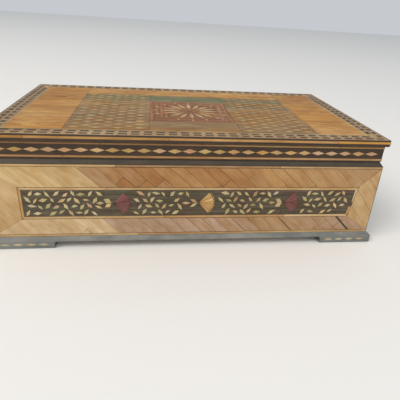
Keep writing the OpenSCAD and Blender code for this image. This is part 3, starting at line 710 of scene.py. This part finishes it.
fanTones = {
    "gold": {"tones": ["pale", "gold", "honey"], "vary": 0.08},
    "red": {"tones": ["madder", "roseRed", "madder"], "vary": 0.1},
}


# The corners of the fans of one colour: the tip, then points and notches by turns
def fanCorners(colour):
    return singlePieces("fans_" + colour, 2 * fanLook["teeth"] + 2)


# The two leaves at the tip of each red fan, which make an arrowhead, are cut broader than the rest
def leafWidths(corners):
    fans = fanCorners("red")[0]
    tips = fans[np.arange(len(fans)), fans[..., 0].argmin(1)]
    apart = tips[:, None] - corners.mean(1)
    beside, above = leafLook["arrowNear"]
    arrow = ((apart[..., 0] > 0) & (apart[..., 0] < beside) & (np.abs(apart[..., 2]) < above)).any(0)
    return np.where(arrow, leafLook["arrowWide"], leafLook["stretch"][1])[:, None, None]


def layInlay(name, node, look, body, seed):
    corners, out = singlePieces(node)
    corners = longestFirst(corners)
    if node == "leaves_front":
        look = {**look, "stretch": (look["stretch"][0], leafWidths(corners))}
    rng = np.random.default_rng(seed)
    makePiece(name, [cutPieces(corners, out, look, rng)], [plainStraw], body, [node])


# Each fan is a hand of pointed splints that spring from its tip. The tip is the corner with the two longest
# sides; after it every other corner of the outline is the point of a splint, with notches between them.
def layFans(colour, seed):
    corners, out = fanCorners(colour)
    teeth, look = fanLook["teeth"], {**fanLook, **fanTones[colour]}
    reach = np.linalg.norm(corners - np.roll(corners, 1, 1), axis=-1) + np.linalg.norm(
        corners - np.roll(corners, -1, 1), axis=-1)
    turned = (np.arange(2 * teeth + 2) + reach.argmax(1)[:, None]) % (2 * teeth + 2)
    corners = np.take_along_axis(corners, turned[..., None], 1)
    tip, rim = corners[:, :1], corners[:, 1:]
    points, notches = rim[:, ::2], rim[:, 1::2]
    inward = tip - notches
    notches = notches + inward / np.linalg.norm(inward, axis=-1, keepdims=True) * look["deeper"]
    shoulders = [tip + (points[:, k:k + 1] - tip) * look["shoulder"] for k in (0, teeth)]
    before = np.concatenate([shoulders[0], notches], 1)
    after = np.concatenate([notches, shoulders[1]], 1)
    kites = np.stack([np.broadcast_to(tip, points.shape), before, points, after], 2).reshape(-1, 4, 3)
    rng = np.random.default_rng(seed)
    patch = cutPieces(kites, np.repeat(out, teeth + 1, 0), look, rng)
    makePiece("fan_" + colour, [patch], [dyedStraw if colour == "red" else plainStraw], "base",
              ["fans_" + colour])


print("leaves, fans and diamonds")
for k, side in enumerate(("front", "right", "left")):
    layInlay("leaf_inlay_" + side, "leaves_" + side, leafLook, "base", 31 + k)
layFans("gold", 41)
layFans("red", 42)
layInlay("foot_lozenges", "foot_diamonds", footDiamondLook, "base", 43)
layInlay("rail_lozenges", "rail_diamonds", diamondLook, "lid", 44)


# Straw lines on the lid rails, and the straw along the edge of the lid board
railLineLook = {
    **lineLook, "thick": 0.23, "round": 0.08, "crown": 0.03, "uneven": 0.02, "tilt": 0.01,
    "tones": ["tan", "honey", "tan"], "upperTones": ["umber", "tan", "umber"], "strays": ["gold", "umber"],
    "lineWide": (1.7, 1.4),     # the lower and the upper line
    "hingeGap": 0.6,
}
edgeLook = {
    **lineLook, "thick": 0.28, "round": 0.08, "crown": 0.04, "uneven": 0.03, "tilt": 0.02,
    "tones": ["deepGold", "honey", "sunny"], "strays": ["umber", "honey"],
    "darkPart": 0.28,           # the lower share of the edge, which is black
}


def layRailLines():
    rng = np.random.default_rng(51)
    lowerWide, upperWide = railLineLook["lineWide"]
    patches = []
    for side in sides:
        plane = planeOf(side, "rail_stringing")
        a0, b0, a1, b1 = spanOn(plane, "rail_stringing")
        ends = [(a0, a1)]
        if side == "back":
            # the lower line at the back stops at each hinge
            hinge = [spanOn(plane, "hinge_lid_" + hand) for hand in ("left", "right")]
            gap = railLineLook["hingeGap"]
            stops = sorted([(h[0] - gap, h[2] + gap) for h in hinge])
            ends = [(a0, stops[0][0]), (stops[0][1], stops[1][0]), (stops[1][1], a1)]
        for start, end in ends:
            patches.append(laySplints(plane, rectangle(start, b0, end, b0 + lowerWide), railLineLook, rng))
        upper = {**railLineLook, "tones": railLineLook["upperTones"]}
        patches.append(laySplints(plane, rectangle(a0, b1 - upperWide, a1, b1), upper, rng))
    makePiece("rail_lines", patches, [plainStraw], "lid", ["rail_stringing"])


def layEdging():
    rng = np.random.default_rng(52)
    patches = []
    for side in sides:
        plane = planeOf(side, "board_edging")
        a0, b0, a1, b1 = spanOn(plane, "board_edging")
        split = b0 + edgeLook["darkPart"] * (b1 - b0)
        patches.append(laySplints(plane, rectangle(a0, split, a1, b1), edgeLook, rng))
        dark = {**edgeLook, "tones": ["black", "blackPlum"], "strayPart": 0, "slot": 1}
        patches.append(laySplints(plane, rectangle(a0, b0, a1, split), dark, rng))
    makePiece("edge_splints", patches, [plainStraw, dyedStraw], "lid", ["board_edging"])


print("lid rails and edge")
layRailLines()
layEdging()


# Top of the lid: a banded border, then plain straw, then the dyed field
borderLook = {
    "thick": 0.4, "gap": (0.02, 0.08), "long": (50, 120), "pieces": 8, "crown": 0.03, "uneven": 0.04,
    "vary": 0.05, "round": 0.08, "wide": (20, 20),
    # bands across the border, from its outer edge: how far each reaches, its tones and which straw it is
    "bands": [(0.9, ["black", "blackPlum"], 1), (6.6, ["cloud", "tan"], 0), (7.0, ["olive", "fog"], 0),
              (11.8, ["tan", "cloud"], 0), (12.3, ["black", "umber"], 1), (13.5, ["cream", "cloud"], 0)],
}
brickLook = {
    "thick": 0.3, "slip": 0.12, "step": 0.06, "tones": ["black", "blackPlum", "blackGreen"], "vary": 0.12,
    "crown": 0.02,
    "slim": (0.66, 0.95),       # the bricks of the front and back, and of the ends
}


def layBorder():
    plane = planeOf("top", "border_straw")
    edge = rectangle(*spanOn(plane, "border_straw"))
    inward = np.array([[1, 1], [-1, 1], [-1, -1], [1, -1]])
    rng = np.random.default_rng(61)
    whole = mitredBands(edge, edge + inward * borderLook["bands"][-1][0])
    patches = [layPaper(plane, region, 2) for region in whole.values()]
    reached = 0.0
    for reach, tones, slot in borderLook["bands"]:
        ring = mitredBands(edge + inward * reached, edge + inward * reach)
        for name, region in ring.items():
            turn = 0 if name in ("low", "high") else 90
            look = {**borderLook, "tones": tones, "slot": slot, "turn": turn}
            patches.append(laySplints(plane, region, look, rng))
        reached = reach
    straws = [plainStraw, dyedStraw, glue]
    makePiece("border_splints", patches, straws, "lid", ["border_straw"])
    corners, out = singlePieces("border_bricks")
    first = np.linalg.norm(corners[:, 1] - corners[:, 0], axis=-1)
    second = np.linalg.norm(corners[:, 2] - corners[:, 1], axis=-1)
    corners = np.where((first < second)[:, None, None], np.roll(corners, -1, 1), corners)
    # the bricks of the front and the back are cut slimmer than those of the ends
    lying = np.ptp(corners[..., 0], axis=1) > np.ptp(corners[..., 1], axis=1)
    patches = [cutPieces(corners[part], out[part], {**brickLook, "stretch": (1, slim)}, rng, True)
               for part, slim in zip((lying, ~lying), brickLook["slim"])]
    makePiece("border_brick_inlay", patches, [dyedStraw], "lid", ["border_bricks"])


fieldLook = {
    "thick": 0.4, "gap": (0.0, 0.12), "wide": (2.6, 6.5), "long": (16, 60), "pieces": 5, "crown": 0.04,
    "uneven": 0.07, "strays": ["gold", "orange", "umber", "deepGold", "deepGold"],
    "strayPart": 0.45, "vary": 0.04, "toneAxis": 1, "close": ([0], [0.5]), "string": 1.4,
}
fieldBands = {
    "left": {"tones": ["sunny", "gold", "sunny", "deepGold", "sunny"]},
    "right": {"tones": ["gold", "sunny", "sunny", "deepGold", "deepGold"]},
    "back": {"tones": ["sunny", "gold"]},
}
dyedLook = {
    **fieldLook, "wide": (2.2, 4.2), "long": (25, 80), "strayPart": 0.4, "slot": 1,
    "leftTones": ["deepGold", "stone", "fog", "fog", "stone", "cloud", "cloud", "green", "green", "olive"],
    "rightTones": ["fog", "fog", "stone", "deepGold", "cloud", "sea", "deepGold", "green", "sea", "olive"],
    "stops": [0, 0.1, 0.25, 0.42, 0.58, 0.68, 0.76, 0.82, 0.92, 1],
    "strays": ["stone", "fog", "tan", "deepGold"],
}
squareLook = {
    **fieldLook, "wide": (3.0, 5.0), "long": (40, 80), "strayPart": 0.4, "toneAxis": 0,
    "tones": ["russet", "brick", "russet"], "strays": ["tan", "brick", "umber"], "slot": 1, "vary": 0.05,
}


def layField():
    plane = planeOf("top", "field_straw")
    a0, b0, a1, b1 = spanOn(plane, "field_straw")
    m0, n0, m1, n1 = spanOn(plane, "middle_ground")
    q0, r0, q1, r1 = spanOn(plane, "middle_square")
    rng = np.random.default_rng(71)
    stringEnd = m1 + fieldLook["string"]
    regions = {"left": rectangle(a0, b0, m0, b1), "right": rectangle(stringEnd, b0, a1, b1),
               "back": rectangle(m0, n1, m1, b1)}
    patches = [layPaper(plane, region, 1)
               for region in (regions["left"], regions["back"], rectangle(m1, b0, a1, b1))]
    stringLook = {**lineLook, "thick": 0.4, "turn": 90}
    patches.append(laySplints(plane, rectangle(m1, b0, stringEnd, b1), stringLook, rng))
    patches += [laySplints(plane, region, {**fieldLook, **fieldBands[name]}, rng)
                for name, region in regions.items()]
    makePiece("field_splints", patches, [lidStraw, glue], "lid", ["field_straw"])

    # the dyed field: rows of straw at each side of the square, and above and below it
    parts = [rectangle(m0, n0, q0, n1), rectangle(q1, n0, m1, n1), rectangle(q0, n0, q1, r0),
             rectangle(q0, r1, q1, n1)]
    patches = []
    for part in parts:
        patches.append(layPaper(plane, part, 2))
        # one run of tones for the depth of the field, cut to the part's own share of it
        share = (part[[0, 2], 1] - n0) / (n1 - n0)
        stops = (np.array(dyedLook["stops"]) - share[0]) / (share[1] - share[0])
        run = dyedLook["rightTones"] if part[0, 0] >= q1 else dyedLook["leftTones"]
        patches.append(laySplints(plane, part, {**dyedLook, "tones": run, "stops": stops}, rng))
    straws = [plainStraw, dyedStraw, glue]
    makePiece("dyed_field", patches, straws, "lid", ["middle_ground"])

    # the square: four mitred triangles, each with its straws along its own side
    middle = ((q0 + q1) / 2, (r0 + r1) / 2)
    corner = rectangle(q0, r0, q1, r1)
    patches = [layPaper(plane, corner, 2)]
    for k in range(4):
        region = np.array([corner[k], corner[(k + 1) % 4], middle])
        patches.append(laySplints(plane, region, {**squareLook, "turn": 90 * (k % 2)}, rng))
    makePiece("square_splints", patches, straws, "lid", ["middle_square"])


starLook = {
    "thick": 0.25, "crown": 0.02, "tones": ["cream", "gold", "oat"], "strays": ["gold", "blush"],
    "strayPart": 0.2, "vary": 0.05, "paintedHalfShade": 0.8,
}
netLook = {
    "thick": 0.25, "tones": ["cloud", "sunny", "tan", "gold"],
    "strays": ["celery", "orange", "olive", "fog"], "strayPart": 0.45, "vary": 0.06, "paintedHalfShade": 0.88,
}


# Each lozenge is two halves of one straw, the second turned over so that it takes the light another way;
# that half is painted darker, as painted shade
def halvedInlay(name, node, look, seed):
    corners, out = singlePieces(node)
    corners = longestFirst(corners)
    rng = np.random.default_rng(seed)
    first, left, last, right = np.split(corners, 4, 1)
    axis = (first + last) / 2
    halves = []
    for quads, paintedHalfShade in (((first, left, last, axis), 1.0), ((first, axis, last, right), look["paintedHalfShade"])):
        patch = cutPieces(np.concatenate(quads, 1), out, {**look, "step": 0.12}, rng)
        # painted shade on the turned half
        patch["tone"][:, :3] *= paintedHalfShade
        halves.append(patch)
    makePiece(name, halves, [plainStraw], "lid", [node])


print("top of the lid")
layBorder()
layField()
halvedInlay("star_petals", "middle_star", starLook, 81)
halvedInlay("net_lozenges", "middle_lozenges", netLook, 82)

# Finishes of the pieces whose shape is the CAD's own. The grain of the ends runs along Y.
nodeFinish = {"bottom_board": pine[0], "lid_board": black[0]}
for part, finishes in {"wall": pine, "rim": ledge, "plinth": plinth, "rail": black}.items():
    for k, side in enumerate(sides):
        nodeFinish[part + "_" + side] = finishes[k % 2]
for corner in ("front_left", "front_right", "back_right", "back_left"):
    nodeFinish["foot_" + corner] = plinth[0]
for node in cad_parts:
    if node.endswith("_lining"):
        nodeFinish[node] = flock
    elif node.startswith("hinge_"):
        nodeFinish[node] = brass
print("finishes of the CAD pieces")
for node, material in nodeFinish.items():
    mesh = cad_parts[node].data
    mesh.materials.clear()
    mesh.materials.append(material)


# Floor: pale and plain. Seen straight on, or in a reflection, it keeps its colour and takes the shadow.
floorLook = {"colour": "#efeeea", "wide": 9000}


def makeFloor():
    half = floorLook["wide"] / 2 * mm
    mesh = bpy.data.meshes.new("floor")
    corners = [(-half, -half, 0), (half, -half, 0), (half, half, 0), (-half, half, 0)]
    mesh.from_pydata(corners, [], [(0, 1, 2, 3)])
    floor = newObject("floor", mesh)
    material, tree = newMaterial("pale table")
    finish = {"Base Color": toLinear(floorLook["colour"]), "Roughness": 0.9, "Specular IOR Level": 0.1}
    shader = addNode(tree, "ShaderNodeBsdfPrincipled", finish)
    addNode(tree, "ShaderNodeOutputMaterial", {}, {"Surface": shader.outputs[0]})
    mesh.materials.append(material)


# Light: an even pale room and two large soft lamps, at a level where a colour renders about as it is written
lightLook = {
    "room": 0.62, "roomTone": "#eef3fa", "backdrop": 0.66, "aim": (0, 0, 40),
    "lamps": [
        {"place": (-2000, -1350, 2500), "size": 2000, "power": 60, "tone": "#fff6ec"},
        {"place": (1000, -2300, 1900), "size": 2800, "power": 24, "tone": "#fffaf4"},
    ],
}


def makeLight():
    world = bpy.data.worlds.new("room")
    bpy.context.scene.world = world
    world.use_nodes = True
    tree = world.node_tree
    tree.nodes.clear()
    path = addNode(tree, "ShaderNodeLightPath")
    seen = path.outputs["Is Camera Ray"]
    for ray in ("Is Glossy Ray", "Is Transmission Ray"):
        either = addNode(tree, "ShaderNodeMath", {"operation": "MAXIMUM"}, {0: seen, 1: path.outputs[ray]})
        seen = either.outputs[0]
    strength = ranged(tree, seen, start=lightLook["room"], end=lightLook["backdrop"])
    shader = addNode(tree, "ShaderNodeBackground", {"Color": toLinear(lightLook["roomTone"])},
                     {"Strength": strength})
    addNode(tree, "ShaderNodeOutputWorld", {}, {"Surface": shader.outputs[0]})
    for k, lamp in enumerate(lightLook["lamps"]):
        data = bpy.data.lights.new("lamp %d" % k, "AREA")
        data.shape = "DISK"
        data.size = lamp["size"] * mm
        data.energy = lamp["power"]
        data.color = toLinear(lamp["tone"])[:3]
        item = newObject("lamp %d" % k, data)
        place = np.array(lamp["place"], float)
        item.location = place * mm
        aim = np.array(lightLook["aim"], float) - place
        tilt = math.atan2(math.hypot(aim[0], aim[1]), -aim[2])
        item.rotation_euler = (tilt, 0, math.atan2(-aim[0], aim[1]))


# Camera: where it stands, the way it looks, and the small shift of the photo's frame
cameraLook = {"place": (-31.0, -354.3, 174.6), "turn": 9.30, "down": 26.22, "roll": 3.95, "lens": 35.01,
              "shift": (-0.0296, -0.0027)}


def makeCamera():
    turn, down, roll = (math.radians(cameraLook[k]) for k in ("turn", "down", "roll"))
    ahead = np.array([math.sin(turn) * math.cos(down), math.cos(turn) * math.cos(down), -math.sin(down)])
    level = np.array([math.cos(turn), -math.sin(turn), 0])
    above = np.cross(level, ahead)
    right = math.cos(roll) * level + math.sin(roll) * above
    up = np.cross(right, ahead)
    data = bpy.data.cameras.new("camera")
    data.sensor_width = 36
    data.lens = cameraLook["lens"]
    data.shift_x, data.shift_y = cameraLook["shift"]
    data.clip_start, data.clip_end = 0.01, 20
    camera = newObject("camera", data)
    place = np.array(cameraLook["place"]) * mm
    rows = [[right[k], up[k], -ahead[k], place[k]] for k in range(3)] + [[0, 0, 0, 1]]
    camera.matrix_world = mathutils.Matrix(rows)
    bpy.context.scene.camera = camera


print("floor, light and camera")
makeFloor()
makeLight()
makeCamera()
bpy.context.scene.view_settings.view_transform = "Standard"
